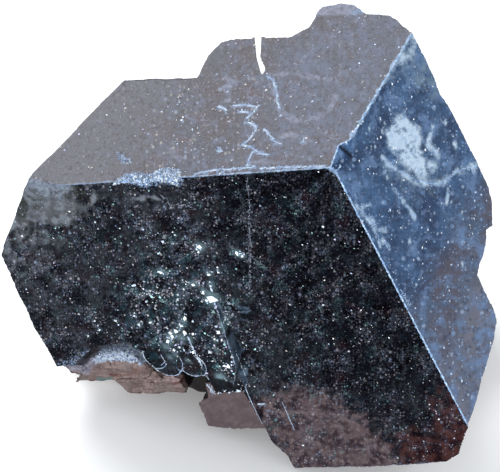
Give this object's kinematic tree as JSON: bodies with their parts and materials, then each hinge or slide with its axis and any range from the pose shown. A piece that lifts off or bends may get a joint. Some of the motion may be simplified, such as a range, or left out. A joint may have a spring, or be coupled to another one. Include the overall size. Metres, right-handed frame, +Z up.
{
  "type": "aegirine crystal on orthoclase",
  "caption": "Mineral specimen: a stout black aegirine crystal with square faces, leaning on a stepped block of pinkish orthoclase with a flat foot.",
  "frame": {"origin": "centre of the bounding box's base, on the surface that the specimen rests on", "axes": "+Z up from the flat foot, -Y towards the crystal's broad front face, +X to its right"},
  "size_m": [0.0532, 0.0492, 0.0493],
  "materials": {
    "aegirine": "black mineral, glassy on its prism faces and satin on its end, with worn pale edges",
    "orthoclase": "pinkish tan feldspar, stepped cleavage, dull to pearly"
  },
  "bodies": {
    "root": {"aegirine": "aegirine", "orthoclase": "orthoclase"}
  },
  "joints": []
}
